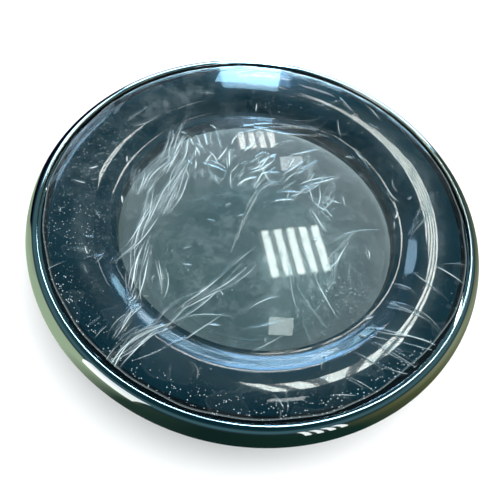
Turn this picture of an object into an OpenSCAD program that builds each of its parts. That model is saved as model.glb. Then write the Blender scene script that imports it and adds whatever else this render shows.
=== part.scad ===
// Front-loading washing machine door, lying face up on the flat bottom of its glass bowl.
// Origin: centre of the bowl's flat bottom. +Z points out through the front of the door,
// -X is the hinge side and +X the latch side.

/* [Trim ring] */
// Radius of the bright lip around the window
lip_r = 223; // [221:1:226]
// Height of the lip above the bottom of the bowl
lip_z = 104; // [103:1:108]
// How far the ring flares out beyond its lip
ring_flare = 12; // [10:1:14]
// Height from the lip down to the widest part of the ring
ring_drop = 18; // [16:1:20]
// Wall thickness of the ring
ring_wall = 2.5; // [2:0.5:3]

/* [Window] */
// Thickness of the tinted window cover
cover_t = 2.6; // [2:0.2:3]
// Radius of the flat, recessed middle of the cover
floor_r = 150; // [148:1:151]
// Slope of the step between the brim and the middle, in degrees
step_slope = 27; // [26:1:28]
// Thickness of the peel-off protective film's solid
film_t = 0.5; // [0.3:0.1:0.8]

/* [Glass bowl] */
// Radius of the bowl's flat bottom
bowl_flat_r = 97; // [90:1:99]
// Wall thickness of the bowl
bowl_t = 5; // [4:0.5:6]
// Half angle of the bowl's cone, in degrees
bowl_cone = 33; // [32:0.5:33]

/* [Hinge] */
// Radius of the hinge pin
pin_r = 3; // [2.5:0.1:3.2]
// Distance between the two bolts that fix the bracket to the cabinet
bolt_gap = 60; // [50:1:66]
// Radius of the bracket's bolt holes
bolt_hole_r = 2.75; // [2.2:0.05:3.3]

/* [Latch] */
// Radius of the latch pivot pin
latch_pin_r = 2; // [1.6:0.1:2.4]
// How far the hook reaches below its pivot
hook_reach = 38; // [34:1:42]

/* [Hidden] */
$fn = 180;

// Window cover outline: slopes in degrees, positive where the surface falls towards the middle
cover_r = lip_r - 3.6;
edge_r = cover_r - 1;
edge_z = lip_z - 2.1;
edge_slope = -12;
crown_r = lip_r * 0.9148;
crown_slope = 3;
shoulder_r = lip_r * 0.7668;
shoulder_slope = 13.5;
shoulder_round = 20;
step_fillet = 20;
crown_round = (edge_r - crown_r) / (sin(crown_slope) - sin(edge_slope));
roll_round = (crown_r - shoulder_r) / (sin(shoulder_slope) - sin(crown_slope));

// Heights inside the door, from the rear face to the front
plate_z = 64;
plate_t = 3;
inside_z = plate_z + plate_t;
flange_z = 76.5;
flange_t = 5.5;
gasket_t = 1.5;
collar_z = flange_z + flange_t + gasket_t;
collar_top = collar_z + 3;
ledge_z = lip_z - 8.2;
ledge_t = 2;
ledge_r = lip_r - 11;

// Radii inside the door
neck_r = floor_r - 2;
flange_r = 167;
rear_in_r = 152;
rear_out_r = lip_r - 8.5;
front_out_r = lip_r - 3.5;
wall_t = 2.5;
screw_ring_r = 190;
screw_count = 10;
screw_first = 18;
bumper_ring_r = 203;
bumper_angles = [30, 150, 210, 330];
stem_r = 2.5;

// Screws
screw_r = 1.9;
screw_play = 0.05;
screw_hole_r = 2.2;
head_r = 3.8;
head_h = 2.4;

// Hinge: the pin runs along Y
hinge_x = 2 - lip_r;
hinge_z = 62;
knuckle_r = 6;
knuckle_half = 17;
bush_r = 4.5;
bush_len = 8;
bush_flange_t = 1;
running_play = 0.05;
ear_y = knuckle_half + bush_flange_t + 0.2;
ear_t = 4;
ear_r = 7;
arm_t = 4;
arm_x = [-208, -180];
arm_half = 32;
arm_screw_x = [-200, -187];
arm_screw_y = 24;
bracket_drop = 7;
bracket_t = 3;
bracket_len = 38;
bracket_half = 42;
bracket_bolt_x = 24;

// Latch: the pin runs along Y
latch_x = lip_r - 23;
latch_z = 74;
hook_t = 6;
hook_boss_r = 5.5;
cheek_y = 8;
cheek_t = 2;
latch_screw_y = 19;
spring_wire_r = 0.5;
spring_coil_r = 3.4;
spring_turns = 3.5;
spring_pitch = 1.05;

// ---- Outline helpers ----

// Unit normal of a surface that falls towards the middle by the slope s
function normal(s) = [-sin(s), cos(s)];
function lerp(a, b, t) = a + (b - a) * t;

// A convex run from slope s0 to slope s1, moved by off under the outer surface
function convex(centre, round, off, s0, s1, steps) =
    [for (i = [0:steps]) centre + (round - off) * normal(lerp(s0, s1, i / steps))];
// The same for a hollow run, whose centre is above the surface
function hollow(centre, round, off, s0, s1, steps) =
    [for (i = [0:steps]) centre - (round + off) * normal(lerp(s0, s1, i / steps))];

crown_c = [edge_r, edge_z] - crown_round * normal(edge_slope);
roll_c = crown_c + (crown_round - roll_round) * normal(crown_slope);
shoulder_c = roll_c + (roll_round - shoulder_round) * normal(shoulder_slope);
step_top = shoulder_c + shoulder_round * normal(step_slope);
fillet_r = floor_r + step_fillet * sin(step_slope);
fillet_z = step_top[1] - (step_top[0] - fillet_r) * tan(step_slope);
fillet_c = [floor_r, fillet_z + step_fillet * cos(step_slope)];
floor_z = fillet_c[1] - step_fillet;

// The brim, shoulder and step of the window, from slope s0 at the outside to the fillet's start
function brim(off, s0) = concat(
    convex(crown_c, crown_round, off, s0, crown_slope, 10),
    convex(roll_c, roll_round, off, crown_slope + 1.5, shoulder_slope, 6),
    convex(shoulder_c, shoulder_round, off, shoulder_slope + 2.5, step_slope, 5)
);
// The whole upper outline of the window, on to its centre
function window_outline(off, s0) = concat(
    brim(off, s0),
    hollow(fillet_c, step_fillet, off, step_slope, 0, 6),
    [[0, floor_z - off]]
);
function backwards(list) = [for (i = [len(list) - 1:-1:0]) list[i]];

// A dish between two offsets from the window's outer surface
module dish(upper, lower, s0) {
    rotate_extrude() polygon(concat(window_outline(upper, s0), backwards(window_outline(lower, s0))));
}

// A plain ring with a rectangular section
module hoop(r0, r1, z0, z1) {
    rotate_extrude() translate([r0, z0]) square([r1 - r0, z1 - z0]);
}

// Copies of a child at equal angles round the door
module around(count, radius, first = 0) {
    for (i = [0:count - 1]) rotate([0, 0, first + i * 360 / count]) translate([radius, 0, 0]) children();
}

// A pan-head screw, head down, with its seat at z = 0 and its thread pointing up
module screw(length) {
    difference() {
        union() {
            cylinder(r = screw_r, h = length);
            translate([0, 0, -head_h]) cylinder(r1 = head_r - 0.8, r2 = head_r, h = 0.8);
            translate([0, 0, 0.8 - head_h]) cylinder(r = head_r, h = head_h - 0.8);
        }
        for (a = [0, 90]) rotate([0, 0, a]) translate([-2.2, -0.5, -head_h - 1]) cube([4.4, 1, 2.4]);
    }
}

// A cylinder along Y, from y0 to y1
module rod_y(r, y0, y1) {
    translate([0, y0, 0]) rotate([-90, 0, 0]) cylinder(r = r, h = y1 - y0);
}
// A flat shape drawn in x and z, as thick as from y0 to y1
module slab_y(y0, y1) {
    translate([0, y1, 0]) rotate([90, 0, 0]) linear_extrude(height = y1 - y0) children();
}

// ---- Window and trim ----

module trim_ring() {
    outer_low = 12;
    centre = [lip_r, lip_z - ring_drop];
    bead_r = 1.5;
    bead_c = [lip_r - 0.6, lip_z - bead_r];
    bead_in = bead_c[0] - bead_r;
    function bullnose(a, off) =
        centre + [(ring_flare - off) * cos(a), ((a > 0 ? ring_drop : outer_low) - off) * sin(a)];
    outside = [for (a = [90:-10:-70]) bullnose(a, 0)];
    inside = [for (a = [-70:10:60]) bullnose(a, ring_wall)];
    bead = [for (a = [180:-15:90]) bead_c + bead_r * [cos(a), sin(a)]];
    ledge_top = ledge_z + ledge_t;
    ledge = [[lip_r, ledge_z], [ledge_r, ledge_z], [ledge_r, ledge_top], [bead_in, ledge_top]];
    color("silver") rotate_extrude() polygon(concat(outside, inside, ledge, bead));
}

module trim_clips() {
    foot_r = front_out_r + 0.2;
    tip_r = lip_r + ring_flare - ring_wall - 1.1;
    leaf = [
        [foot_r, 78], [foot_r + 1, 78], [tip_r, 87], [tip_r, 90], [tip_r - 0.8, 90],
        [tip_r - 1, 88], [foot_r + 0.8, 79.4], [foot_r + 0.8, 84], [foot_r, 84]
    ];
    color("gray") for (i = [0:7]) rotate([0, 0, 20 + i * 45]) rotate_extrude(angle = 5) polygon(leaf);
}

module window_cover() {
    color([0.12, 0.24, 0.29, 0.6]) dish(0, cover_t, edge_slope);
}

module cover_seal() {
    color("black") hoop(lip_r - 10, lip_r - 5, ledge_z + ledge_t, edge_z - cover_t - 0.25);
}

module protective_film() {
    film_gap = 0.1;
    color([0.8, 0.9, 0.95, 0.3]) dish(-film_gap - film_t, -film_gap, edge_slope + 0.4);
}

// ---- Frames and bowl ----

module front_frame() {
    skin_gap = cover_t + 1;
    skin_t = 2.4;
    skin_slope = -5;
    shelf_z = ledge_z - 2.8;
    boss_r = 4.2;
    boss_bore = 18;
    skin = concat(brim(skin_gap, skin_slope), backwards(brim(skin_gap + skin_t, skin_slope)));
    foot = step_top - skin_gap * normal(step_slope);
    toe = fillet_c - (step_fillet + skin_gap) * normal(step_slope);
    heel = toe - skin_t * normal(step_slope);
    heel_top = foot - skin_t * normal(step_slope);
    color("darkslategray") difference() {
        union() {
            rotate_extrude() polygon(skin);
            rotate_extrude() polygon([foot, toe, heel, heel_top]);
            rotate_extrude() polygon([
                [neck_r, collar_z], [heel[0], collar_z], heel, toe,
                [floor_r + 2.5, collar_top], [neck_r, collar_top]
            ]);
            hoop(flange_r + 1, flange_r + 1 + wall_t, inside_z, lip_z - 11.5);
            hoop(lip_r - 14, lip_r - 11.5, shelf_z, lip_z - 5.5);
            hoop(lip_r - 14, front_out_r, shelf_z, shelf_z + 2.4);
            hoop(front_out_r - wall_t, front_out_r, 72, shelf_z + 2.4);
            around(screw_count, screw_ring_r, screw_first)
                translate([0, 0, inside_z]) cylinder(r = boss_r, h = lip_z - 7.5 - inside_z);
        }
        around(screw_count, screw_ring_r, screw_first)
            translate([0, 0, inside_z - 1]) cylinder(r = screw_r + screw_play, h = boss_bore + 1);
    }
}

module bowl_gasket() {
    color("black") hoop(floor_r, flange_r - 2, flange_z + flange_t, collar_z);
}

module glass_bowl() {
    corner_r = 14;
    corner_c = [bowl_flat_r, corner_r];
    lean = [sin(bowl_cone), cos(bowl_cone)];
    out_n = [cos(bowl_cone), -sin(bowl_cone)];
    outer_foot = corner_c + corner_r * out_n;
    inner_foot = corner_c + (corner_r - bowl_t) * out_n;
    outer_top = outer_foot + lean * (flange_z - outer_foot[1]) / lean[1];
    inner_top = inner_foot + lean * (neck_r - inner_foot[0]) / lean[0];
    corner = [for (i = [0:6]) lerp(-90, -bowl_cone, i / 6)];
    dome_rise = 1.5;
    dome_r = bowl_flat_r - 2;
    outer = [for (a = corner) corner_c + corner_r * [cos(a), sin(a)]];
    inner = [for (a = backwards(corner)) if (a > -80)
        corner_c + (corner_r - bowl_t) * [cos(a), sin(a)]];
    bottom = [for (i = [6:-1:0]) [dome_r * i / 6, bowl_t + dome_rise * (1 - pow(i / 6, 2))]];
    color([0.7, 0.8, 0.78, 0.4]) rotate_extrude() polygon(concat(
        [[0, 0]], outer, [outer_top, [flange_r, flange_z], [flange_r, flange_z + flange_t]],
        [[neck_r, flange_z + flange_t], inner_top], inner, bottom
    ));
}

// The cutter for a round hole through the rear frame's plate
module rear_hole(r) {
    translate([0, 0, plate_z - 1]) cylinder(r = r, h = plate_t + 2);
}

module rear_frame() {
    hinge_notch = 27;
    color("dimgray") difference() {
        union() {
            hoop(rear_in_r, rear_out_r, plate_z, inside_z);
            hoop(rear_in_r + 6, flange_r - 0.5, inside_z, flange_z);
            hoop(rear_out_r - wall_t, rear_out_r, inside_z, 88);
        }
        around(screw_count, screw_ring_r, screw_first) rear_hole(screw_hole_r);
        for (a = bumper_angles) rotate([0, 0, a]) translate([bumper_ring_r, 0, 0])
            rear_hole(stem_r + 0.05);
        translate([-lip_r, -hinge_notch, plate_z - 1]) cube([lip_r + arm_x[0], 2 * hinge_notch, 9]);
        for (x = arm_screw_x, y = [-arm_screw_y, arm_screw_y]) translate([x, y, 0]) rear_hole(screw_hole_r);
        translate([latch_x - 8, -7, plate_z - 1]) cube([16, 14, plate_t + 2]);
        for (y = [-latch_screw_y, latch_screw_y]) translate([latch_x, y, 0]) rear_hole(screw_hole_r);
    }
}

module frame_screws() {
    color("lightgray") around(screw_count, screw_ring_r, screw_first) translate([0, 0, plate_z]) screw(18);
}

module bumper_pads() {
    color("black") for (a = bumper_angles) rotate([0, 0, a]) translate([bumper_ring_r, 0, 0]) {
        translate([0, 0, plate_z - 4]) cylinder(r1 = 4.5, r2 = 6, h = 2);
        translate([0, 0, plate_z - 2]) cylinder(r = 6, h = 2);
        translate([0, 0, plate_z]) cylinder(r = stem_r, h = plate_t);
        translate([0, 0, inside_z]) cylinder(r1 = 3.4, r2 = 1.6, h = 3);
    }
}

// ---- Hinge ----

module hinge_arm() {
    web_x = arm_x[0] - hinge_x + 2;
    web = [[0, -knuckle_r], [web_x, -2], [web_x, 2], [8, 2], [0, knuckle_r]];
    color("gainsboro") difference() {
        union() {
            translate([hinge_x, 0, hinge_z]) {
                rod_y(knuckle_r, -knuckle_half, knuckle_half);
                slab_y(-knuckle_half, knuckle_half) polygon(web);
            }
            translate([arm_x[0], -arm_half, plate_z - arm_t])
                cube([arm_x[1] - arm_x[0], 2 * arm_half, arm_t]);
        }
        translate([hinge_x, 0, hinge_z]) rod_y(bush_r + 0.02, -knuckle_half - 1, knuckle_half + 1);
        for (x = arm_screw_x, y = [-arm_screw_y, arm_screw_y])
            translate([x, y, plate_z - arm_t - 1]) cylinder(r = screw_hole_r, h = arm_t + 2);
    }
}

module hinge_backplate() {
    color("silver") difference() {
        translate([arm_x[0] + 3, -arm_half + 2, inside_z]) cube([25, 2 * arm_half - 4, 2]);
        for (x = arm_screw_x, y = [-arm_screw_y, arm_screw_y])
            translate([x, y, inside_z - 1]) cylinder(r = screw_r + screw_play, h = 4);
    }
}

module hinge_arm_screws() {
    color("lightgray") for (x = arm_screw_x, y = [-arm_screw_y, arm_screw_y])
        translate([x, y, plate_z - arm_t]) screw(11);
}

module hinge_bushes() {
    color("ivory") translate([hinge_x, 0, hinge_z]) for (side = [0, 1]) mirror([0, side, 0]) difference() {
        union() {
            rod_y(bush_r, knuckle_half - bush_len, knuckle_half);
            rod_y(knuckle_r, knuckle_half, knuckle_half + bush_flange_t);
        }
        rod_y(pin_r + running_play, knuckle_half - bush_len - 1, knuckle_half + bush_flange_t + 1);
    }
}

// Drawn as it lies when the door is shut, then turned to hang straight down from its pin
module hinge_bracket() {
    low = -bracket_drop - bracket_t;
    ear = [[-ear_r, 0], [-ear_r, -4], [-1, low], [26, low], [26, -bracket_drop], [ear_r, -1]];
    color("gainsboro") translate([hinge_x, 0, hinge_z]) rotate([0, 90, 0]) difference() {
        union() {
            for (side = [0, 1]) mirror([0, side, 0]) {
                slab_y(ear_y, ear_y + ear_t) polygon(ear);
                rod_y(ear_r, ear_y, ear_y + ear_t);
            }
            translate([-1, -bracket_half, low]) cube([bracket_len + 1, 2 * bracket_half, bracket_t]);
        }
        rod_y(pin_r + 0.02, -ear_y - ear_t - 1, ear_y + ear_t + 1);
        for (y = [-bolt_gap / 2, bolt_gap / 2])
            translate([bracket_bolt_x, y, low - 1]) cylinder(r = bolt_hole_r, h = bracket_t + 2);
    }
}

module hinge_pin() {
    face = ear_y + ear_t;
    color("silver") translate([hinge_x, 0, hinge_z]) difference() {
        union() {
            rod_y(pin_r, -face - 0.1, face + 2.4);
            rod_y(pin_r + 1.6, -face - 2.1, -face - 0.1);
        }
        difference() {
            rod_y(pin_r + 1, face + 0.2, face + 1.4);
            rod_y(pin_r - 0.6, face, face + 2);
        }
    }
}

module hinge_pin_clip() {
    face = ear_y + ear_t;
    color("gray") translate([hinge_x, 0, hinge_z]) difference() {
        rod_y(pin_r + 2, face + 0.3, face + 1.3);
        rod_y(pin_r - 0.55, face, face + 2);
        translate([-1.6, face, -2 * pin_r]) cube([3.2, 2, 2 * pin_r]);
    }
}

// ---- Latch ----

module latch_base() {
    base_x = 9;
    base_half = 25;
    base_t = 2.2;
    cheek_top = 8;
    color("silver") translate([latch_x, 0, 0]) difference() {
        union() {
            translate([-base_x, -base_half, inside_z]) cube([2 * base_x, 2 * base_half, base_t]);
            for (side = [0, 1]) mirror([0, side, 0])
                translate([-base_x + 2, cheek_y, inside_z + base_t])
                    cube([2 * base_x - 4, cheek_t, latch_z + cheek_top - inside_z - base_t]);
        }
        translate([-base_x + 2, -cheek_y, inside_z - 1]) cube([2 * base_x - 4, 2 * cheek_y, base_t + 2]);
        translate([0, 0, latch_z]) rod_y(latch_pin_r + 0.02, -20, 20);
        for (y = [-latch_screw_y, latch_screw_y])
            translate([0, y, inside_z - 1]) cylinder(r = screw_r + screw_play, h = base_t + 2);
    }
}

module latch_pin() {
    color("silver") translate([latch_x, 0, latch_z]) {
        rod_y(latch_pin_r, -cheek_y - cheek_t - 1.5, cheek_y + cheek_t + 0.1);
        rod_y(latch_pin_r + 1.2, cheek_y + cheek_t + 0.1, cheek_y + cheek_t + 1.3);
    }
}

// Rings of points along a path, each ring square to the path
function unit(v) = v / norm(v);
function ahead(path, i) = unit(path[min(i + 1, len(path) - 1)] - path[max(i - 1, 0)]);
function across(d) = unit(cross(d, abs(d[1]) < 0.9 ? [0, 1, 0] : [1, 0, 0]));
module wire(path, r) {
    sides = 8;
    rings = len(path);
    points = [for (i = [0:rings - 1])
        let (d = ahead(path, i), u = across(d), v = cross(d, u))
        for (j = [0:sides - 1]) path[i] + r * (cos(j * 360 / sides) * u + sin(j * 360 / sides) * v)];
    walls = [for (i = [0:rings - 2], j = [0:sides - 1])
        let (a = i * sides + j, b = i * sides + (j + 1) % sides) [a, a + sides, b + sides, b]];
    polyhedron(points, concat(walls, [[for (j = [0:sides - 1]) j]],
        [[for (j = [sides - 1:-1:0]) (rings - 1) * sides + j]]), convexity = 6);
}

module latch_spring() {
    start_y = hook_t / 2 + 0.6;
    coil = [for (a = [0:20:360 * spring_turns])
        [-spring_coil_r * cos(a), start_y + spring_pitch * a / 360, spring_coil_r * sin(a)]];
    last = coil[len(coil) - 1];
    hook_leg = [
        [-spring_coil_r - 1.6, -1, -9], [-spring_coil_r - 1.4, start_y - 0.6, -8.6],
        [-spring_coil_r - 0.6, start_y, -4]
    ];
    base_leg = [last + [0.6, 0, -2.2], last + [2, 0, -4], last + [4.9, 0, -4.2]];
    color("gray") translate([latch_x, 0, latch_z]) wire(concat(hook_leg, coil, base_leg), spring_wire_r);
}

module latch_hook() {
    shank = [
        [-4, 0], [-4, 4 - hook_reach], [-1, -hook_reach], [10.5, 5 - hook_reach], [11, 7 - hook_reach],
        [4.5, 9.5 - hook_reach], [4.5, 0]
    ];
    color("gainsboro") translate([latch_x, 0, latch_z]) difference() {
        union() {
            slab_y(-hook_t / 2, hook_t / 2) polygon(shank);
            rod_y(hook_boss_r, -hook_t / 2, hook_t / 2);
        }
        rod_y(latch_pin_r + running_play, -hook_t, hook_t);
    }
}

module latch_cover() {
    cover_h = 3;
    color("dimgray") difference() {
        translate([latch_x - 13, -13, plate_z - cover_h]) cube([25, 26, cover_h]);
        translate([latch_x - 8.5, -4.2, plate_z - cover_h - 1]) cube([15, 8.4, cover_h + 2]);
    }
}

module latch_screws() {
    color("lightgray") for (y = [-latch_screw_y, latch_screw_y]) translate([latch_x, y, plate_z]) screw(8);
}

trim_ring();
trim_clips();
window_cover();
cover_seal();
protective_film();
front_frame();
bowl_gasket();
glass_bowl();
rear_frame();
frame_screws();
bumper_pads();
hinge_arm();
hinge_backplate();
hinge_arm_screws();
hinge_bushes();
hinge_bracket();
hinge_pin();
hinge_pin_clip();
latch_base();
latch_pin();
latch_spring();
latch_hook();
latch_cover();
latch_screws();
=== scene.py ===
"""A front-loading washing machine door, lying face up.

A chrome ring, a smoked window under its protective film, and a glass bowl.
"""
import math

import bpy
import numpy as np
from mathutils import Matrix, Vector


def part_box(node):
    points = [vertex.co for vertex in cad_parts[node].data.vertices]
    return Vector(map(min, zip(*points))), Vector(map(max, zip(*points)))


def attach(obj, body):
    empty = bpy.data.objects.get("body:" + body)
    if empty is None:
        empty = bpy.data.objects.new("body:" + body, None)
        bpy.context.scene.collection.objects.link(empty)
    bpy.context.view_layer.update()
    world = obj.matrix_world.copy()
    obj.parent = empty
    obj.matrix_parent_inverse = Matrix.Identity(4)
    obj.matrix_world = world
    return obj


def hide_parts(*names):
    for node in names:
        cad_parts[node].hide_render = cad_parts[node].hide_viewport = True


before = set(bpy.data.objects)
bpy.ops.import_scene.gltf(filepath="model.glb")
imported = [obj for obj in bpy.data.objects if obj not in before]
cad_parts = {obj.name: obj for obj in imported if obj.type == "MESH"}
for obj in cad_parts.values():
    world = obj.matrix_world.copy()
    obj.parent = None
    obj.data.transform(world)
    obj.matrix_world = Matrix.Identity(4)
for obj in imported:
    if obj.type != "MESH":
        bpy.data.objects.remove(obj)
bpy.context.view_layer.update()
MM = 0.001

# ---- Sizes from the frame, in metres ----

RING_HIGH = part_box("trim_ring")[1]
COVER_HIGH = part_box("window_cover")[1]
BOWL_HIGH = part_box("glass_bowl")[1]
LIP_R = COVER_HIGH.x + 4.6 * MM
FLARE = RING_HIGH.x - LIP_R
LIP_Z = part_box("trim_ring")[1].z
EDGE_R = COVER_HIGH.x
EDGE_Z = LIP_Z - 2.1 * MM
FLOOR_R = 150 * MM
COVER_T = 2.6 * MM
FILM_LIFT = 0.2 * MM


# ---- Outlines, as lists of (radius, height) ----

def slope_normal(slope):
    """The outward direction of a surface that falls towards the middle by slope degrees."""
    a = math.radians(slope)
    return np.array([-math.sin(a), math.cos(a)])


def convex(centre, radius, off, start, end, steps):
    """A domed run between two slopes, off metres under the outer surface."""
    return [centre + (radius - off) * slope_normal(s) for s in np.linspace(start, end, steps)]


def hollow(centre, radius, off, start, end, steps):
    """A hollow run between two slopes; its centre is above the surface."""
    return [centre - (radius + off) * slope_normal(s) for s in np.linspace(start, end, steps)]


EDGE_SLOPE, CROWN_SLOPE, SHOULDER_SLOPE, STEP_SLOPE = -12, 3, 13.5, 27
SHOULDER_ROUND, STEP_FILLET = 20 * MM, 20 * MM
CROWN_R, SHOULDER_R = LIP_R * 0.9148, LIP_R * 0.7668


def run_radius(r0, r1, slope0, slope1):
    return (r0 - r1) / (math.sin(math.radians(slope1)) - math.sin(math.radians(slope0)))


CROWN_ROUND = run_radius(EDGE_R, CROWN_R, EDGE_SLOPE, CROWN_SLOPE)
ROLL_ROUND = run_radius(CROWN_R, SHOULDER_R, CROWN_SLOPE, SHOULDER_SLOPE)
CROWN_C = np.array([EDGE_R, EDGE_Z]) - CROWN_ROUND * slope_normal(EDGE_SLOPE)
ROLL_C = CROWN_C + (CROWN_ROUND - ROLL_ROUND) * slope_normal(CROWN_SLOPE)
SHOULDER_C = ROLL_C + (ROLL_ROUND - SHOULDER_ROUND) * slope_normal(SHOULDER_SLOPE)
STEP_TOP = SHOULDER_C + SHOULDER_ROUND * slope_normal(STEP_SLOPE)
FILLET_R = FLOOR_R + STEP_FILLET * math.sin(math.radians(STEP_SLOPE))
FILLET_Z = STEP_TOP[1] - (STEP_TOP[0] - FILLET_R) * math.tan(math.radians(STEP_SLOPE))
FILLET_C = np.array([FLOOR_R, FILLET_Z + STEP_FILLET * math.cos(math.radians(STEP_SLOPE))])
FLOOR_Z = FILLET_C[1] - STEP_FILLET


def window_outline(off, edge_slope=EDGE_SLOPE):
    """The window's upper surface from its edge to the middle, off metres below the outside."""
    points = convex(CROWN_C, CROWN_ROUND, off, edge_slope, CROWN_SLOPE, 24)
    points += convex(ROLL_C, ROLL_ROUND, off, CROWN_SLOPE, SHOULDER_SLOPE, 14)[1:]
    points += convex(SHOULDER_C, SHOULDER_ROUND, off, SHOULDER_SLOPE, STEP_SLOPE, 10)[1:]
    points += hollow(FILLET_C, STEP_FILLET, off, STEP_SLOPE, 0, 12)
    points += [np.array([r, FLOOR_Z - off]) for r in np.linspace(FLOOR_R, 0, 16)[1:]]
    return points


def arc(centre, rx, ry, start, end, steps):
    return [np.array([centre[0] + rx * math.cos(a), centre[1] + ry * math.sin(a)])
            for a in np.radians(np.linspace(start, end, steps))]


# ---- Mesh helpers ----

def make_object(name, verts, faces, material, smooth_below=40):
    mesh = bpy.data.meshes.new(name)
    mesh.from_pydata([tuple(v) for v in verts], [], faces)
    mesh.validate()
    mesh.shade_smooth()
    mesh.set_sharp_from_angle(angle=math.radians(smooth_below))
    obj = bpy.data.objects.new(name, mesh)
    bpy.context.scene.collection.objects.link(obj)
    mesh.materials.append(material)
    return obj


def lathe(name, outline, material, segments=360, closed=True, smooth_below=40):
    """Turns an outline round Z, its faces outward. Points at radius 0 become one shared vertex."""
    r, z = np.array([tuple(point) for point in outline]).T
    if np.sum(r * np.roll(z, -1) - np.roll(r, -1) * z) > 0:
        outline = outline[::-1]
    verts, rows = [], []
    angles = np.linspace(0, 2 * math.pi, segments, endpoint=False)
    for r, z in outline:
        if r < 1e-6:
            rows.append([len(verts)] * segments)
            verts.append((0, 0, z))
        else:
            rows.append(list(range(len(verts), len(verts) + segments)))
            verts += [(r * math.cos(a), r * math.sin(a), z) for a in angles]
    faces = []
    pairs = list(zip(rows, rows[1:] + rows[:1])) if closed else list(zip(rows, rows[1:]))
    for a, b in pairs:
        if a[0] == a[1] and b[0] == b[1]:
            continue
        for i in range(segments):
            j = (i + 1) % segments
            corners = [a[i], b[i], b[j], a[j]]
            faces.append([c for k, c in enumerate(corners) if c != corners[k - 1]])
    obj = make_object(name, verts, faces, material, smooth_below)
    return obj


# ---- Material helpers ----

def new_material(name):
    mat = bpy.data.materials.new(name)
    mat.use_nodes = True
    mat.node_tree.nodes.clear()
    return mat, mat.node_tree.nodes, mat.node_tree.links


def add(nodes, kind, **values):
    """A node, with its input sockets and properties set by name."""
    node = nodes.new(kind)
    for key, value in values.items():
        name = key.replace("_", " ").title()
        if name in node.inputs:
            node.inputs[name].default_value = value
        else:
            setattr(node, key, value)
    return node


def ramp(nodes, links, source, low, high, value_low=0.0, value_high=1.0):
    node = nodes.new("ShaderNodeMapRange")
    node.interpolation_type = "SMOOTHSTEP"
    node.inputs["From Min"].default_value = low
    node.inputs["From Max"].default_value = high
    node.inputs["To Min"].default_value = value_low
    node.inputs["To Max"].default_value = value_high
    links.new(source, node.inputs["Value"])
    return node.outputs["Result"]


def noise(nodes, links, scale, detail=3.0, stretch=(1, 1, 1), rough=0.5):
    coords = nodes.new("ShaderNodeTexCoord")
    mapping = nodes.new("ShaderNodeMapping")
    mapping.inputs["Scale"].default_value = stretch
    links.new(coords.outputs["Object"], mapping.inputs["Vector"])
    node = nodes.new("ShaderNodeTexNoise")
    node.inputs["Scale"].default_value = scale
    node.inputs["Detail"].default_value = detail
    node.inputs["Roughness"].default_value = rough
    links.new(mapping.outputs["Vector"], node.inputs["Vector"])
    return node.outputs["Fac"]


def maths(nodes, links, operation, a, b):
    node = nodes.new("ShaderNodeMath")
    node.operation = operation
    for socket, value in zip(node.inputs, (a, b)):
        if isinstance(value, (int, float)):
            socket.default_value = value
        else:
            links.new(value, socket)
    return node.outputs[0]


def bump(nodes, links, height, distance, strength=1.0):
    node = nodes.new("ShaderNodeBump")
    node.inputs["Strength"].default_value = strength
    node.inputs["Distance"].default_value = distance
    links.new(height, node.inputs["Height"])
    return node.outputs["Normal"]


def solid_material(name, color, roughness, metallic=0.0, grain=0.02, grain_scale=400, rough_vary=0.12,
                   spread=0.12, stretch=(1, 1, 1)):
    """Plastic, rubber or metal: a base colour that varies a little, uneven roughness and a fine grain."""
    mat, nodes, links = new_material(name)
    shader = nodes.new("ShaderNodeBsdfPrincipled")
    shader.inputs["Metallic"].default_value = metallic
    blotch = noise(nodes, links, 25, 4)
    mix = nodes.new("ShaderNodeMix")
    mix.data_type = "RGBA"
    mix.inputs["A"].default_value = (*[c * (1 - spread) for c in color], 1)
    mix.inputs["B"].default_value = (*[min(1, c * (1 + spread)) for c in color], 1)
    links.new(blotch, mix.inputs["Factor"])
    links.new(mix.outputs["Result"], shader.inputs["Base Color"])
    fine = noise(nodes, links, grain_scale, 5, stretch)
    links.new(ramp(nodes, links, fine, 0.3, 0.7, roughness * (1 - rough_vary), roughness * (1 + rough_vary)),
              shader.inputs["Roughness"])
    links.new(bump(nodes, links, fine, grain * MM), shader.inputs["Normal"])
    out = nodes.new("ShaderNodeOutputMaterial")
    links.new(shader.outputs[0], out.inputs["Surface"])
    return mat


def glass_material(name, tint, lamp_tint, ior, roughness=0.0, ripple=0.0, ripple_scale=30):
    """Clear or smoked glass that bends light, and lets lamps through to what is behind it."""
    mat, nodes, links = new_material(name)
    shader = nodes.new("ShaderNodeBsdfPrincipled")
    shader.inputs["Base Color"].default_value = (*tint, 1)
    shader.inputs["Transmission Weight"].default_value = 1
    shader.inputs["Roughness"].default_value = roughness
    shader.inputs["IOR"].default_value = ior
    if ripple:
        links.new(bump(nodes, links, noise(nodes, links, ripple_scale, 2), ripple), shader.inputs["Normal"])
    clear = nodes.new("ShaderNodeBsdfTransparent")
    clear.inputs["Color"].default_value = (*lamp_tint, 1)
    path = nodes.new("ShaderNodeLightPath")
    mix = nodes.new("ShaderNodeMixShader")
    links.new(path.outputs["Is Shadow Ray"], mix.inputs[0])
    links.new(shader.outputs[0], mix.inputs[1])
    links.new(clear.outputs[0], mix.inputs[2])
    out = nodes.new("ShaderNodeOutputMaterial")
    links.new(mix.outputs[0], out.inputs["Surface"])
    return mat


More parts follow.
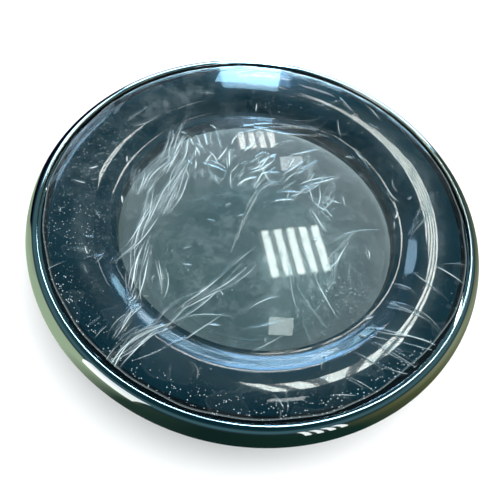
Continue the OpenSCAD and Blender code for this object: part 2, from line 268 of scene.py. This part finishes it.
def spots(nodes, links, scale, size, share, stretch=(1, 1, 1)):
    """Scattered small specks: 1 inside a speck and 0 outside, on the given share of the cells."""
    coords = nodes.new("ShaderNodeTexCoord")
    mapping = nodes.new("ShaderNodeMapping")
    mapping.inputs["Scale"].default_value = stretch
    links.new(coords.outputs["Object"], mapping.inputs["Vector"])
    cells = nodes.new("ShaderNodeTexVoronoi")
    cells.inputs["Scale"].default_value = scale
    links.new(mapping.outputs["Vector"], cells.inputs["Vector"])
    split = nodes.new("ShaderNodeSeparateColor")
    links.new(cells.outputs["Color"], split.inputs[0])
    near = ramp(nodes, links, cells.outputs["Distance"], size, size * 0.6)
    chosen = ramp(nodes, links, split.outputs[0], 1 - share, 1 - share * 0.9)
    return maths(nodes, links, "MULTIPLY", near, chosen)


def attribute(nodes, name):
    node = nodes.new("ShaderNodeAttribute")
    node.attribute_name = name
    return node.outputs["Fac"]


def film_material():
    """Thin clear film: it mirrors a little, and whitens with dust and loose patches. Painted light too: the
    white along fold ridges and the film's cut edge is painted highlight, and the haze adds painted glow on
    the brim.
    """
    mat, nodes, links = new_material("peel_off_film")
    clear = add(nodes, "ShaderNodeBsdfTransparent", color=(0.95, 0.98, 0.98, 1))
    ripple = bump(nodes, links, noise(nodes, links, 140, 4), 0.004 * MM)
    sharp = add(nodes, "ShaderNodeBsdfGlossy", color=(1, 1, 1, 1), roughness=0.03)
    soft = add(nodes, "ShaderNodeBsdfGlossy", color=(1, 1, 1, 1), roughness=0.24)
    gloss = nodes.new("ShaderNodeMixShader")
    gloss.inputs[0].default_value = 0.5
    for i, lobe in enumerate((sharp, soft)):
        links.new(ripple, lobe.inputs["Normal"])
        links.new(lobe.outputs[0], gloss.inputs[i + 1])
    fresnel = nodes.new("ShaderNodeFresnel")
    fresnel.inputs["IOR"].default_value = 1.42
    sheen = nodes.new("ShaderNodeMixShader")
    links.new(fresnel.outputs[0], sheen.inputs[0])
    links.new(clear.outputs[0], sheen.inputs[1])
    links.new(gloss.outputs[0], sheen.inputs[2])
    lobes = noise(nodes, links, 27, 1.6, rough=0.4)
    loose = ramp(nodes, links, lobes, 0.52, 0.53)
    rim = maths(nodes, links, "MULTIPLY", loose, ramp(nodes, links, lobes, 0.545, 0.53))
    dust = spots(nodes, links, 520, 0.30, 0.30)
    grit = spots(nodes, links, 240, 0.22, 0.06)
    cloud = ramp(nodes, links, noise(nodes, links, 60, 5, rough=0.7), 0.40, 0.72)
    patchy = maths(nodes, links, "ADD", cloud, 0.15)
    # painted glow on the brim, with milky film over the middle
    haze_and_painted_glow = maths(nodes, links, "MULTIPLY", attribute(nodes, "haze_and_painted_glow"), patchy)
    dusty = maths(nodes, links, "MULTIPLY", dust, attribute(nodes, "dusty"))
    speckle = maths(nodes, links, "MULTIPLY", dusty, 0.8)
    # The white mix: dust, grit and loose patches are the film's own; the haze adds painted glow and the
    # ridge values painted highlight.
    dust_and_painted_light = maths(nodes, links, "MULTIPLY", loose, 0.006)
    dust_and_painted_light = maths(nodes, links, "ADD", dust_and_painted_light, maths(nodes, links, "MULTIPLY", rim, 0.014))
    dust_and_painted_light = maths(nodes, links, "ADD", dust_and_painted_light, maths(nodes, links, "MULTIPLY", grit, 0.25))
    dust_and_painted_light = maths(nodes, links, "ADD", dust_and_painted_light, speckle)
    dust_and_painted_light = maths(nodes, links, "ADD", dust_and_painted_light, haze_and_painted_glow)
    # painted highlight: white along the fold ridges and the film's cut edge
    dust_and_painted_light = maths(nodes, links, "ADD", dust_and_painted_light, attribute(nodes, "painted_highlight"))
    white = add(nodes, "ShaderNodeBsdfDiffuse", color=(0.68, 0.85, 0.90, 1))
    mix = nodes.new("ShaderNodeMixShader")
    links.new(dust_and_painted_light, mix.inputs[0])
    links.new(sheen.outputs[0], mix.inputs[1])
    links.new(white.outputs[0], mix.inputs[2])
    out = nodes.new("ShaderNodeOutputMaterial")
    links.new(mix.outputs[0], out.inputs["Surface"])
    return mat


CHROME = solid_material("chrome_plate", (0.80, 0.83, 0.82), 0.035, 1.0, 0.0008, 60, 0.3, 0.02)
COVER = glass_material("smoked_cover", (0.56, 0.642, 0.684), (0.475, 0.567, 0.609), 1.49)
BOWL = glass_material("bowl_glass", (0.86, 0.93, 0.91), (0.80, 0.88, 0.86), 1.5, 0.08, 0.02 * MM, 40)
FILM = film_material()
FRAME_FRONT = solid_material("teal_frame_plastic", (0.002, 0.120, 0.165), 0.45, 0, 0.02, 700, spread=0.5)
NODE_MATERIALS = {
    "front_frame": FRAME_FRONT,
    "rear_frame": solid_material("grey_frame_plastic", (0.33, 0.35, 0.36), 0.5, 0, 0.03, 900),
    "latch_cover": solid_material("latch_cover_plastic", (0.27, 0.29, 0.30), 0.45, 0, 0.03, 900),
    "cover_seal": solid_material("seal_foam", (0.012, 0.012, 0.014), 0.8, 0, 0.15, 1500),
    "bowl_gasket": solid_material("gasket_rubber", (0.03, 0.032, 0.034), 0.65, 0, 0.05, 800),
    "bumper_pads": solid_material("pad_rubber", (0.025, 0.025, 0.026), 0.7, 0, 0.05, 1100),
    "trim_clips": solid_material("clip_steel", (0.45, 0.46, 0.47), 0.3, 1, 0.01, 500),
    "hinge_arm": solid_material("arm_casting", (0.60, 0.61, 0.62), 0.42, 1, 0.05, 500),
    "hinge_bracket": solid_material("bracket_casting", (0.58, 0.59, 0.60), 0.42, 1, 0.05, 500),
    "hinge_backplate": solid_material("zinc_plate", (0.62, 0.63, 0.62), 0.35, 1, 0.02, 300),
    "hinge_bushes": solid_material("bush_acetal", (0.80, 0.79, 0.72), 0.4, 0, 0.01, 600),
    "hinge_pin": solid_material("pin_steel", (0.62, 0.63, 0.64), 0.22, 1, 0.01, 300, stretch=(1, 20, 1)),
    "hinge_pin_clip": solid_material("spring_clip_steel", (0.20, 0.20, 0.21), 0.35, 1, 0.01, 500),
    "latch_base": solid_material("latch_steel", (0.60, 0.61, 0.60), 0.35, 1, 0.02, 300),
    "latch_pin": solid_material("latch_pin_steel", (0.62, 0.63, 0.64), 0.22, 1, 0.01, 300),
    "latch_spring": solid_material("spring_steel", (0.35, 0.36, 0.37), 0.25, 1, 0.01, 500),
    "latch_hook": solid_material("hook_casting", (0.57, 0.58, 0.59), 0.38, 1, 0.05, 500),
    "frame_screws": solid_material("frame_screw_zinc", (0.60, 0.60, 0.58), 0.3, 1, 0.02, 600),
    "hinge_arm_screws": solid_material("arm_screw_zinc", (0.60, 0.60, 0.58), 0.3, 1, 0.02, 600),
    "latch_screws": solid_material("latch_screw_zinc", (0.60, 0.60, 0.58), 0.3, 1, 0.02, 600),
}
for node_name, material in NODE_MATERIALS.items():
    for material_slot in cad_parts[node_name].material_slots:
        material_slot.material = material


# ---- The camera ----

CAMERA_ELEVATION, CAMERA_ROLL = 57.6, 10.9
CAMERA_LENS = 42.3
CAMERA_PLACE = Vector((-0.0029, -0.3611, 0.4892 + LIP_Z))


def make_camera():
    data = bpy.data.cameras.new("camera")
    data.lens = CAMERA_LENS
    data.sensor_width = 36
    data.clip_start = 0.01
    camera = bpy.data.objects.new("camera", data)
    bpy.context.scene.collection.objects.link(camera)
    e, roll = math.radians(CAMERA_ELEVATION), math.radians(CAMERA_ROLL)
    forward = Vector((0, math.cos(e), -math.sin(e)))
    level, down = Vector((1, 0, 0)), Vector((0, -math.sin(e), -math.cos(e)))
    right = math.cos(roll) * level - math.sin(roll) * down
    up = -(math.sin(roll) * level + math.cos(roll) * down)
    turn = Matrix((right, up, -forward)).transposed().to_4x4()
    camera.matrix_world = Matrix.Translation(CAMERA_PLACE) @ turn
    bpy.context.scene.camera = camera


make_camera()


# ---- Window, ring and bowl ----

def ring_outline():
    """A bullnose with a thin bead at its lip, and a ledge under the window's edge."""
    drop, low, wall, bead = 18 * MM, 12 * MM, 2.5 * MM, 1.5 * MM
    centre = (LIP_R, LIP_Z - drop)
    bead_c = (LIP_R - 0.6 * MM, LIP_Z - bead)
    ledge_low, ledge_high = LIP_Z - 8.2 * MM, LIP_Z - 6.2 * MM
    points = arc(centre, FLARE, drop, 90, 0, 46) + arc(centre, FLARE, low, 0, -70, 30)[1:]
    points += arc(centre, FLARE - wall, low - wall, -70, 0, 24)
    points += arc(centre, FLARE - wall, drop - wall, 0, 60, 24)[1:]
    points += [(LIP_R, ledge_low), (LIP_R - 11 * MM, ledge_low), (LIP_R - 11 * MM, ledge_high)]
    points += [(bead_c[0] - bead, ledge_high)] + arc(bead_c, bead, bead, 180, 90, 14)
    return points


def cover_outline():
    top = window_outline(0)
    under = window_outline(COVER_T)
    edge = np.array(top[0]), np.array(under[0])
    rounded = [edge[1] * (1 - t) + edge[0] * t + np.array([0.35 * MM * math.sin(math.pi * t), 0])
               for t in (0.15, 0.5, 0.85)]
    return under[::-1] + rounded + top


def bowl_outline():
    """The bowl in section: flat bottom, tight corner, cone, neck and flange."""
    flat_r, corner, wall, cone = 97 * MM, 14 * MM, 5 * MM, 33
    neck_r, flange_r, flange_t = FLOOR_R - 2 * MM, BOWL_HIGH.x, 5.5 * MM
    flange_z = BOWL_HIGH.z - flange_t
    centre = (flat_r, corner)
    lean = np.array([math.sin(math.radians(cone)), math.cos(math.radians(cone))])
    outer = arc(centre, corner, corner, -90, -cone, 16)
    inner = arc(centre, corner - wall, corner - wall, -cone, -80, 14)
    outer_top = outer[-1] + lean * (flange_z - 3 * MM - outer[-1][1]) / lean[1]
    inner_top = inner[0] + lean * (neck_r - inner[0][0]) / lean[0]
    neck = [outer_top, (outer_top[0] + 4 * MM, flange_z - 0.4 * MM), (outer_top[0] + 7 * MM, flange_z)]
    flange = [(flange_r - 0.6 * MM, flange_z), (flange_r, flange_z + 0.6 * MM),
              (flange_r, BOWL_HIGH.z - 0.6 * MM), (flange_r - 0.6 * MM, BOWL_HIGH.z)]
    lip = [(neck_r + 1.5 * MM, BOWL_HIGH.z), (neck_r + 0.4 * MM, BOWL_HIGH.z - 0.4 * MM),
           (neck_r, BOWL_HIGH.z - 1.5 * MM)]
    wall_in = [inner_top * (1 - t) + inner[0] * t for t in np.linspace(0, 1, 8)[:-1]]
    dome_rise, dome_r = 1.5 * MM, flat_r - 2 * MM
    bottom = [(dome_r * t, wall + dome_rise * (1 - t * t)) for t in np.linspace(1, 0, 20)]
    return [(0, 0)] + outer + neck + flange + lip + wall_in + inner + bottom


def finish_piece(obj, node, body="door"):
    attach(obj, body)
    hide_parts(node)
    return obj


finish_piece(lathe("chrome_ring", ring_outline(), CHROME, 540), "trim_ring")
finish_piece(lathe("smoked_window", cover_outline(), COVER, 360), "window_cover")
finish_piece(lathe("pressed_bowl", bowl_outline(), BOWL, 360), "glass_bowl")


# ---- The protective film ----

FILM_R = EDGE_R - 0.6 * MM
outline = np.array(window_outline(0))[::-1]
random = np.random.default_rng(7)


def window_z(x, y):
    return np.interp(np.hypot(x, y), outline[:, 0], outline[:, 1])


def swells(x, y, wavelength, count=14):
    """Soft random waves from -1 to 1, a sum of sines in random directions."""
    total = np.zeros_like(x)
    for _ in range(count):
        heading, phase = random.uniform(0, 2 * math.pi, 2)
        k = 2 * math.pi / (wavelength * random.uniform(0.6, 1.6))
        total += np.sin(k * (x * math.cos(heading) + y * math.sin(heading)) + phase)
    return total / math.sqrt(count)


def film_edge(angle):
    """The film's radius: cut a little unevenly, and short towards the near right."""
    uneven = 0.5 * np.sin(9 * angle + 1) + 0.4 * np.sin(23 * angle)
    short = 4.5 * np.exp(-((angle + 0.75) / 0.3) ** 2) + 2 * np.exp(-((angle + 2.4) / 0.4) ** 2)
    return FILM_R - (0.9 + uneven + short) * MM


def blister(x, y):
    """Where the film has let go of the far brim and bulges, a few millimetres clear of it."""
    r, angle = np.hypot(x, y), np.arctan2(y, x)
    stations = np.array([146, 152, 158, 164, 172, 182, 192, 202, 212, 220]) * MM
    heights = np.array([0, 0.9, 2.9, 4.3, 4.6, 3.6, 2.4, 1.2, 0.3, 0]) * MM
    off = np.abs(angle - math.radians(92))
    side = np.clip((math.radians(32) - off) / math.radians(12), 0, 1)
    return smooth_curve(r, stations, heights) * side ** 2 * (3 - 2 * side)


def smooth_curve(r, stations, heights):
    """A curve through the stations with no corners, flat outside them."""
    slope = np.gradient(heights, stations)
    i = np.clip(np.searchsorted(stations, r) - 1, 0, len(stations) - 2)
    step = stations[i + 1] - stations[i]
    t = np.clip((r - stations[i]) / step, 0, 1)
    return ((2 * t ** 3 - 3 * t ** 2 + 1) * heights[i] + (t ** 3 - 2 * t ** 2 + t) * step * slope[i]
            + (3 * t ** 2 - 2 * t ** 3) * heights[i + 1] + (t ** 3 - t ** 2) * step * slope[i + 1])


def film_mesh(size):
    """A disc of square cells, in rings towards the edge, laid on the window with soft swells."""
    u, v = np.meshgrid(np.linspace(-1, 1, size + 1), np.linspace(-1, 1, size + 1), indexing="ij")
    wide = np.abs(u) > np.abs(v)
    with np.errstate(divide="ignore", invalid="ignore"):
        turn = np.where(wide, math.pi / 4 * v / u, math.pi / 2 - math.pi / 4 * u / v)
    turn = np.nan_to_num(turn)
    side = np.where(wide, u, v)
    angle = np.arctan2(side * np.sin(turn), side * np.cos(turn))
    r = side * film_edge(angle)
    x, y = r * np.cos(turn), r * np.sin(turn)
    lift = FILM_LIFT + 0.012 * MM * swells(x, y, 0.05) + 0.004 * MM * swells(x, y, 0.012)
    rim = (np.abs(side) > 1 - 1.5 / size) * 1.0
    edge_lift = 0.35 * MM * np.clip((np.abs(side) - 0.97) / 0.03, 0, 1) * (1 + np.sin(31 * angle + 2))
    z = window_z(x, y) + lift + edge_lift + blister(x, y)
    verts = np.stack([x.ravel(), y.ravel(), z.ravel()], 1)
    n = size + 1
    faces = [(i * n + j, (i + 1) * n + j, (i + 1) * n + j + 1, i * n + j + 1)
             for i in range(size) for j in range(size)]
    return verts, faces, rim.ravel()


def fold(start, heading, length, ridges, height, bend, shine):
    """A bundle of fine creases as one strip: a bent line of ridges that part, rise and fade."""
    steps = max(6, int(length / 2.0))
    t = np.linspace(0, 1, steps)
    a = math.radians(heading)
    along, side = np.array([math.cos(a), math.sin(a)]), np.array([-math.sin(a), math.cos(a)])
    phase = random.uniform(0, 6.3, 3)
    wobble = 0.9 * np.sin(t * length / 14 + phase[0]) + 0.15 * np.sin(t * length / 5 + phase[1])
    bow = bend * length * (4 * (t - 0.5) ** 2 - 1)
    path = np.outer((t - 0.5) * length, along) + np.outer(bow + wobble, side)
    path = (path + np.array(start)) * MM
    taper = np.sin(math.pi * t) ** 0.7
    shape = [(-0.5, 0.0), (-0.1, 0.03), (0.0, 1.0), (0.1, 0.03)]
    half = ridges / 2
    rows = [(k - half + 0.5 + u, h, k) for k in range(ridges) for u, h in shape] + [(half, 0.0, ridges - 1)]
    strength = random.uniform(0.45, 1, ridges)
    spread = (2.2 + 3.0 * taper) * random.uniform(0.6, 1.3)
    verts, painted_highlight = [], []
    for u, h, k in rows:
        drift = 0.3 * np.sin(t * length / 22 + phase[2] + 2.3 * k) * (h > 0)
        xy = path + np.outer((u + drift) * spread * MM, side)
        reach = np.hypot(xy[:, 0], xy[:, 1])
        xy *= np.minimum(1, (FILM_R - 2 * MM) / np.maximum(reach, 1e-9))[:, None]
        broken = 0.65 + 0.55 * np.sin(t * length / 11 + 9 * k + phase[1])
        z = window_z(xy[:, 0], xy[:, 1]) + blister(xy[:, 0], xy[:, 1]) + FILM_LIFT + 0.12 * MM
        z += h * height * taper * strength[k] * MM
        verts.append(np.column_stack([xy, z]))
        # painted highlight along each ridge top, broken into dashes and scaled by shine
        painted_highlight.append(3.0 * h * np.clip(broken, 0.15, 1) * strength[k] * taper * shine)
    return np.array(verts), np.array(painted_highlight)


# Families of folds: centre in mm, heading and fan in degrees, length, how many, spread across
# and along, ridges in each, height and shine (the strength of the painted highlight on the ridges)
FAMILIES = [
    ((-111, 70), 92, 5, 58, 6, 9, 10, 4, 0.9, 0.8), ((-132, 14), 99, 6, 44, 4, 8, 10, 3, 0.8, 0.7),
    ((-106, 18), 76, 6, 74, 7, 12, 14, 4, 1.0, 0.9), ((-113, -38), 86, 6, 84, 6, 8, 14, 4, 1.0, 0.9),
    ((-104, -90), 94, 5, 58, 4, 7, 10, 4, 0.9, 0.9), ((-84, -92), 112, 4, 46, 3, 4, 5, 3, 0.8, 0.9),
    ((-70, 70), 112, 22, 19, 34, 30, 34, 2, 0.7, 1.4), ((-32, 66), 66, 26, 20, 40, 34, 32, 2, 0.7, 1.4),
    ((-50, 48), -22, 12, 22, 3, 14, 14, 3, 0.8, 0.4), ((-12, 2), 79, 3, 96, 3, 5, 5, 3, 0.8, 0.6),
    ((20, 62), 48, 24, 24, 30, 42, 28, 2, 0.7, 1.1), ((-34, -92), 54, 5, 84, 4, 7, 10, 3, 0.9, 0.7),
    ((-92, -166), 64, 7, 70, 6, 15, 8, 4, 1.0, 0.9), ((-60, -142), 47, 7, 90, 5, 14, 10, 3, 1.0, 0.8),
    ((-106, -148), 78, 6, 50, 4, 8, 10, 3, 0.9, 0.8), ((16, 124), 3, 6, 110, 4, 14, 16, 2, 0.5, 0.35),
    ((46, 68), 58, 18, 40, 14, 28, 26, 3, 0.7, 0.8), ((66, 34), 128, 30, 26, 14, 22, 20, 2, 0.8, 1.0),
    ((104, -2), 32, 4, 46, 1, 2, 2, 2, 0.8, 0.8), ((98, -34), 76, 10, 44, 6, 18, 22, 3, 0.8, 0.6),
    ((62, -74), 117, 8, 84, 4, 16, 12, 2, 0.7, 0.5), ((152, -118), -8, 4, 62, 5, 15, 6, 3, 0.9, 0.9),
    ((146, -138), -19, 4, 52, 4, 12, 6, 3, 0.9, 0.9), ((120, -160), -30, 5, 30, 4, 18, 8, 2, 0.8, 0.8),
    ((162, -62), -32, 14, 46, 5, 22, 18, 3, 0.8, 0.7), ((172, 36), 66, 8, 50, 3, 7, 12, 3, 1.0, 0.9),
    ((196, -24), -14, 12, 32, 3, 14, 8, 2, 0.9, 0.9), ((150, 92), 112, 16, 24, 9, 36, 34, 2, 0.8, 0.7),
    ((92, 150), 146, 22, 22, 9, 44, 30, 2, 0.8, 0.6), ((50, 186), 168, 24, 24, 7, 52, 20, 2, 0.7, 0.5),
    ((-66, 178), 22, 16, 34, 5, 26, 36, 2, 0.6, 0.4), ((-152, 112), 52, 22, 26, 5, 26, 26, 2, 0.6, 0.5),
    ((-196, 8), 40, 40, 12, 9, 22, 60, 1, 0.8, 0.9), ((-186, -84), 34, 26, 18, 6, 26, 36, 2, 0.7, 0.6),
    ((30, -198), 80, 26, 14, 8, 90, 8, 2, 0.8, 0.7), ((118, -176), 66, 18, 16, 8, 46, 10, 2, 0.8, 0.7),
    ((28, -118), 34, 14, 34, 4, 22, 14, 2, 0.8, 0.6), ((0, -10), 60, 70, 9, 90, 160, 160, 1, 0.7, 1.0),
    ((198, 94), 118, 16, 16, 9, 7, 30, 3, 1.2, 1.0), ((-140, -172), 38, 16, 16, 5, 8, 26, 2, 0.8, 0.6),
]


def build_folds():
    verts, faces, painted_highlight = [], [], []
    for (x, y), heading, fan, length, count, across, along, ridges, height, shine in FAMILIES:
        a = math.radians(heading)
        for _ in range(math.ceil(count * 0.65)):
            side_shift, shift = random.uniform(-across, across), random.uniform(-along, along)
            start = (x + shift * math.cos(a) - side_shift * math.sin(a),
                     y + shift * math.sin(a) + side_shift * math.cos(a))
            turn, size = random.normal(0, fan), random.uniform(0.6, 1.35)
            points, tops = fold(start, heading + turn, length * size, max(1, ridges - random.integers(1, 3)),
                                height * random.uniform(0.5, 1.0), random.normal(0, 0.07),
                                shine * random.uniform(0.25, 1.0))
            if math.hypot(*start) > FILM_R / MM - 6:
                continue
            base, (rows, steps) = len(painted_highlight), points.shape[:2]
            verts.append(points.reshape(-1, 3))
            painted_highlight += list(tops.ravel())
            faces += [(base + i * steps + j, base + i * steps + j + 1, base + (i + 1) * steps + j + 1,
                       base + (i + 1) * steps + j) for i in range(rows - 1) for j in range(steps - 1)]
    return np.vstack(verts), faces, np.array(painted_highlight)


def blob(x, y, at, size):
    return np.exp(-((x - at[0] * MM) ** 2 + (y - at[1] * MM) ** 2) / (size * MM) ** 2)


def haze_and_painted_glow_at(verts):
    """Milky film over the middle, and painted glow: lighter bands along the brim right and left, and lighter
    patches on the far left, the left and the far right.
    """
    r, a = np.hypot(verts[:, 0], verts[:, 1]), np.degrees(np.arctan2(verts[:, 1], verts[:, 0]))
    right = np.exp(-((r - 0.190) / 0.006) ** 2) * np.exp(-((a - 8) / 34) ** 2)
    left = np.exp(-((r - 0.182) / 0.006) ** 2) * np.exp(-((np.abs(a) - 150) / 28) ** 2)
    x, y = verts[:, 0], verts[:, 1]
    far_painted_glow = blob(x, y, (-125, 150), 62) + 0.5 * blob(x, y, (-195, 20), 60)
    far_painted_glow += 0.4 * blob(x, y, (150, 120), 60)
    return 0.06 * right + 0.05 * left + 0.07 * np.exp(-(r / 0.14) ** 6) + 0.06 * far_painted_glow


def dusty_at(verts):
    """Where dust lies: below the middle's right, along the near brim and on the left brim."""
    x, y = verts[:, 0], verts[:, 1]
    r = np.hypot(x, y)
    near = np.exp(-((r - 0.208) / 0.01) ** 2) * (y < -0.11)
    left = blob(x, y, (-190, 40), 45) + blob(x, y, (-180, -60), 35)
    middle, far = blob(x, y, (82, -66), 42), blob(x, y, (-10, 200), 40)
    return np.clip(0.06 + middle + 0.9 * near + 0.7 * left + 0.5 * far, 0, 1)


def finish_film(obj, painted_highlight):
    points = np.array([v.co for v in obj.data.vertices])
    for name, values in (("painted_highlight", painted_highlight), ("haze_and_painted_glow", haze_and_painted_glow_at(points)), ("dusty", dusty_at(points))):
        layer = obj.data.attributes.new(name, "FLOAT", "POINT")
        layer.data.foreach_set("value", np.asarray(values, np.float32))


film_verts, film_faces, film_rim = film_mesh(240)
film = make_object("film_sheet", film_verts, film_faces, FILM)
# painted highlight: a thin white line along the film's cut edge
finish_film(film, 0.18 * film_rim)
finish_piece(film, "protective_film")
fold_verts, fold_faces, fold_painted_highlight = build_folds()
folds = make_object("film_folds", fold_verts, fold_faces, FILM, 80)
# painted highlight along the fold ridges
finish_film(folds, 0.8 * fold_painted_highlight)
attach(folds, "door")


# ---- Floor, light and surroundings ----

def emitter(name, centre, width, length, turn, radiance, color, aim=None, hidden_from_gloss=False):
    """A flat lamp that faces aim, its width turned by turn degrees."""
    data = bpy.data.lights.new(name, "AREA")
    data.shape = "RECTANGLE"
    data.size, data.size_y = width, length
    data.energy = radiance * math.pi * width * length
    data.color = color
    lamp = bpy.data.objects.new(name, data)
    bpy.context.scene.collection.objects.link(lamp)
    away = Vector(centre) - Vector(aim or (0, 0, LIP_Z))
    facing = away.to_track_quat("Z", "Y").to_matrix().to_4x4()
    turned = Matrix.Rotation(math.radians(turn), 4, "Z")
    lamp.matrix_world = Matrix.Translation(Vector(centre)) @ facing @ turned
    lamp.visible_glossy = lamp.visible_transmission = not hidden_from_gloss
    lamp.visible_diffuse = hidden_from_gloss
    return lamp


def below(place):
    return place - Vector((0, 0, 1))


def bar_lamp(name, corner, across, along, bars, radiance, color):
    """A ceiling lamp: parallel bars on a dimmer tray. corner, across and along are its outline."""
    corner, across, along = Vector(corner), Vector(across), Vector(along)
    turn = math.degrees(math.atan2(across.y, across.x))
    for i in range(bars):
        middle = corner + across * (i + 0.5) / bars + along / 2
        width = across.length / bars * 0.58
        emitter(f"{name}_{i}", middle, width, along.length, turn, radiance, color, below(middle))
    tray = corner + across / 2 + along / 2 + Vector((0, 0, 0.01))
    emitter(f"{name}_tray", tray, across.length, along.length, turn, radiance * 0.12, color,
            below(tray))


ROUND_THE_ROOM = [
    (0.0, (0.37, 0.48, 0.33)),
    (0.11, (0.37, 0.48, 0.33)),
    (0.17, (0.02, 0.045, 0.035)),
    (0.24, (0.006, 0.02, 0.017)),
    (0.36, (0.008, 0.03, 0.022)),
    (0.43, (0.09, 0.1, 0.045)),
    (0.52, (0.26, 0.29, 0.19)),
    (0.6, (0.1, 0.12, 0.08)),
    (0.68, (0.02, 0.035, 0.04)),
    (0.79, (0.003, 0.004, 0.01)),
    (0.95, (0.002, 0.002, 0.01)),
    (0.955, (0.33, 0.43, 0.3)),
]


def color_stops(nodes, links, source, stops):
    node = nodes.new("ShaderNodeValToRGB")
    elements = node.color_ramp.elements
    elements[0].position, elements[0].color = stops[0][0], (*stops[0][1], 1)
    elements[1].position, elements[1].color = stops[-1][0], (*stops[-1][1], 1)
    for position, color in stops[1:-1]:
        elements.new(position).color = (*color, 1)
    links.new(source, node.inputs[0])
    return node.outputs[0]


def room_color(nodes, links, vector):
    """The colour of the room by heading: olive left and right, near-black at the back left."""
    heading = nodes.new("ShaderNodeTexGradient")
    heading.gradient_type = "RADIAL"
    links.new(vector, heading.inputs["Vector"])
    return color_stops(nodes, links, heading.outputs["Fac"], ROUND_THE_ROOM)


def make_world():
    """A pale studio for the camera and for soft light; what shines off the object is a dim room."""
    world = bpy.data.worlds.new("world")
    bpy.context.scene.world = world
    world.use_nodes = True
    nodes, links = world.node_tree.nodes, world.node_tree.links
    nodes.clear()
    path = nodes.new("ShaderNodeLightPath")
    plain = add(nodes, "ShaderNodeBackground", color=(0.90, 0.93, 0.95, 1), strength=0.8)
    coords = nodes.new("ShaderNodeTexCoord")
    split = nodes.new("ShaderNodeSeparateXYZ")
    links.new(coords.outputs["Generated"], split.inputs[0])
    ceiling = color_stops(nodes, links, split.outputs["Z"], [
        (0.0, (0.008, 0.018, 0.018)), (0.5, (0.015, 0.03, 0.035)), (0.70, (0.05, 0.13, 0.16)),
        (0.84, (0.05, 0.11, 0.13)), (0.92, (0.01, 0.04, 0.05)), (1.0, (0.002, 0.02, 0.03))])
    blend = nodes.new("ShaderNodeMix")
    blend.data_type = "RGBA"
    links.new(ramp(nodes, links, split.outputs["Z"], 0.30, 0.52), blend.inputs["Factor"])
    links.new(room_color(nodes, links, coords.outputs["Generated"]), blend.inputs["A"])
    links.new(ceiling, blend.inputs["B"])
    room = nodes.new("ShaderNodeBackground")
    links.new(blend.outputs["Result"], room.inputs["Color"])
    beyond = add(nodes, "ShaderNodeBackground", color=(0.17, 0.215, 0.225, 1), strength=1)
    through = nodes.new("ShaderNodeMixShader")
    links.new(path.outputs["Is Transmission Ray"], through.inputs[0])
    links.new(plain.outputs[0], through.inputs[1])
    links.new(beyond.outputs[0], through.inputs[2])
    mix = nodes.new("ShaderNodeMixShader")
    links.new(path.outputs["Is Glossy Ray"], mix.inputs[0])
    links.new(through.outputs[0], mix.inputs[1])
    links.new(room.outputs[0], mix.inputs[2])
    out = nodes.new("ShaderNodeOutputWorld")
    links.new(mix.outputs[0], out.inputs["Surface"])


def make_floor():
    """A pale floor; to mirror rays it glows in the room's colours, a painted reflection that the chrome
    sees.
    """
    mat, nodes, links = new_material("pale_floor")
    pale = add(nodes, "ShaderNodeBsdfDiffuse", color=(0.86, 0.87, 0.87, 1))
    coords = nodes.new("ShaderNodeTexCoord")
    # painted reflection: the floor glows in the room's colours, seen only by mirror rays
    glow = nodes.new("ShaderNodeEmission")
    links.new(room_color(nodes, links, coords.outputs["Object"]), glow.inputs["Color"])
    path = nodes.new("ShaderNodeLightPath")
    mirrored = maths(nodes, links, "SUBTRACT", path.outputs["Is Glossy Ray"],
                     path.outputs["Is Transmission Ray"])
    mix = nodes.new("ShaderNodeMixShader")
    links.new(mirrored, mix.inputs[0])
    links.new(pale.outputs[0], mix.inputs[1])
    links.new(glow.outputs[0], mix.inputs[2])
    out = nodes.new("ShaderNodeOutputMaterial")
    links.new(mix.outputs[0], out.inputs["Surface"])
    half = 12
    corners = [(-half, -half, 0), (half, -half, 0), (half, half, 0), (-half, half, 0)]
    floor = make_object("floor", corners, [(0, 1, 2, 3)], mat)
    floor.location.z = -0.2 * MM


make_floor()
make_world()
bar_lamp("far_lamp", (-0.22, 1.885, 1.98), (0.21, 0.07, 0), (0.07, -0.10, 0), 4, 9, (1, 0.94, 0.88))
bar_lamp("near_lamp", (0.01, 1.27, 1.98), (0.30, 0.11, 0), (0.11, -0.24, 0), 5, 9.5, (0.97, 1, 0.93))
emitter("window_card", (-0.125, 1.80, 0.93), 0.29, 1.18, 0, 9, (0.32, 0.62, 1.0))
near_card = emitter("near_card", (-0.047, 0.246, 0.1545), 0.08, 0.091, 0, 15, (0.38, 0.72, 1.0),
                    (-0.047, 0, 0.1545))
near_card.visible_camera = near_card.visible_transmission = False
emitter("low_sky", (0, 1.9, 0.85), 2.2, 0.42, 0, 6.5, (0.42, 0.76, 1.0))
emitter("sky_line", (0, 1.88, 0.78), 2.2, 0.09, 0, 12, (0.75, 0.92, 1.0))
emitter("third_lamp", (0.105, 1.38, 1.56), 0.10, 0.06, 20, 5, (0.95, 0.98, 1.0))
emitter("fourth_lamp", (0.20, 0.80, 2.0), 0.11, 0.08, 20, 4, (1.0, 1.0, 0.95))
emitter("side_window", (-0.95, 1.28, 1.3), 0.5, 0.6, 0, 4, (0.5, 0.75, 1.0))
emitter("left_panel", (-1.67, -1.85, 1.0), 1.1, 2.0, 0, 0.95, (0.96, 0.98, 1.0))
for i in range(4):
    emitter(f"rear_bar_{i}", (1.28 + 0.15 * i, -2.12 + 0.11 * i, 0.95), 0.11, 1.5, 0, 1.1, (0.95, 0.98, 1.0))
emitter("overhead", (0.3, -0.2, 2.4), 2.4, 2.4, 0, 4.2, (1, 0.99, 0.97), hidden_from_gloss=True)

bpy.context.scene.view_settings.view_transform = "Standard"
